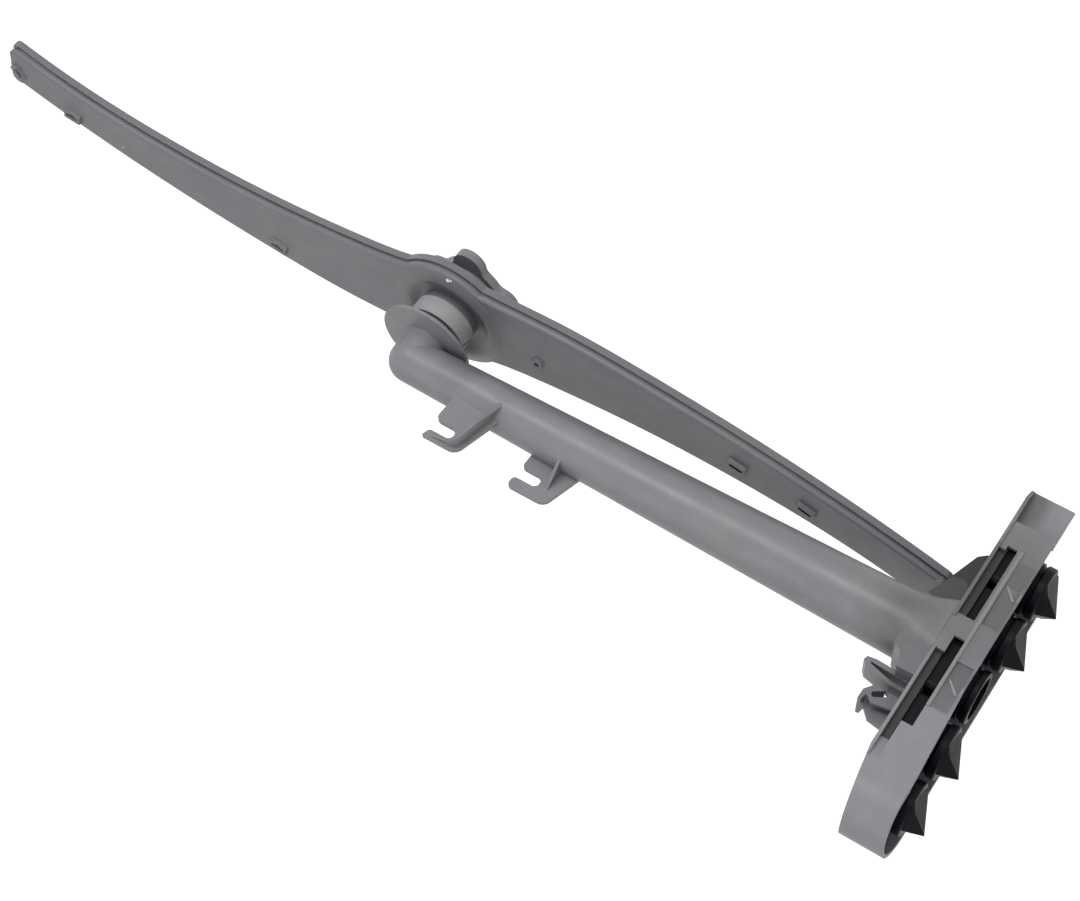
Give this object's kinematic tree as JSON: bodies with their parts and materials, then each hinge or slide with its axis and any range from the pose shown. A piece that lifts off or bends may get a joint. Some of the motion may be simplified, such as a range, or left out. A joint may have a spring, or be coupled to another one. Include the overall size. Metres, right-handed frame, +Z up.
{
  "type": "dishwasher spray arm",
  "caption": "Grey spray arm with curved blades, turning on a hub under a hooked supply pipe that ends in a docking frame with rubber port valves.",
  "frame": {"origin": "centre of the open docking port's mouth, in the middle of the row of ports", "axes": "+X out of the port along the supply pipe, away from the arm's hub; +Z up in use; +Y completes the frame"},
  "size_m": [0.5013, 0.057, 0.1542],
  "materials": {
    "pipe_grey": "matte",
    "arm_grey": "matte",
    "dock_grey": "matte",
    "hub_grey": "satin",
    "seal_rubber": "matte"
  },
  "bodies": {
    "pipe": {"supply_pipe": "pipe_grey", "dock_frame": "dock_grey", "port_plate": "dock_grey", "port_seal_1": "seal_rubber", "port_seal_2": "seal_rubber", "port_seal_3": "seal_rubber", "port_seal_4": "seal_rubber", "port_seal_5": "seal_rubber", "hub_nut": "hub_grey", "thrust_washer": "hub_grey"},
    "arm": {"arm_upper_shell": "arm_grey", "arm_lower_shell": "arm_grey", "bearing_bush": "hub_grey", "collar_ring": "hub_grey"}
  },
  "joints": [
    {"name": "arm_spin", "type": "hinge", "parent": "pipe", "child": "arm", "pos_m": [-0.2626, 0, -0.043], "axis": [0, 0, 1], "continuous": true}
  ]
}
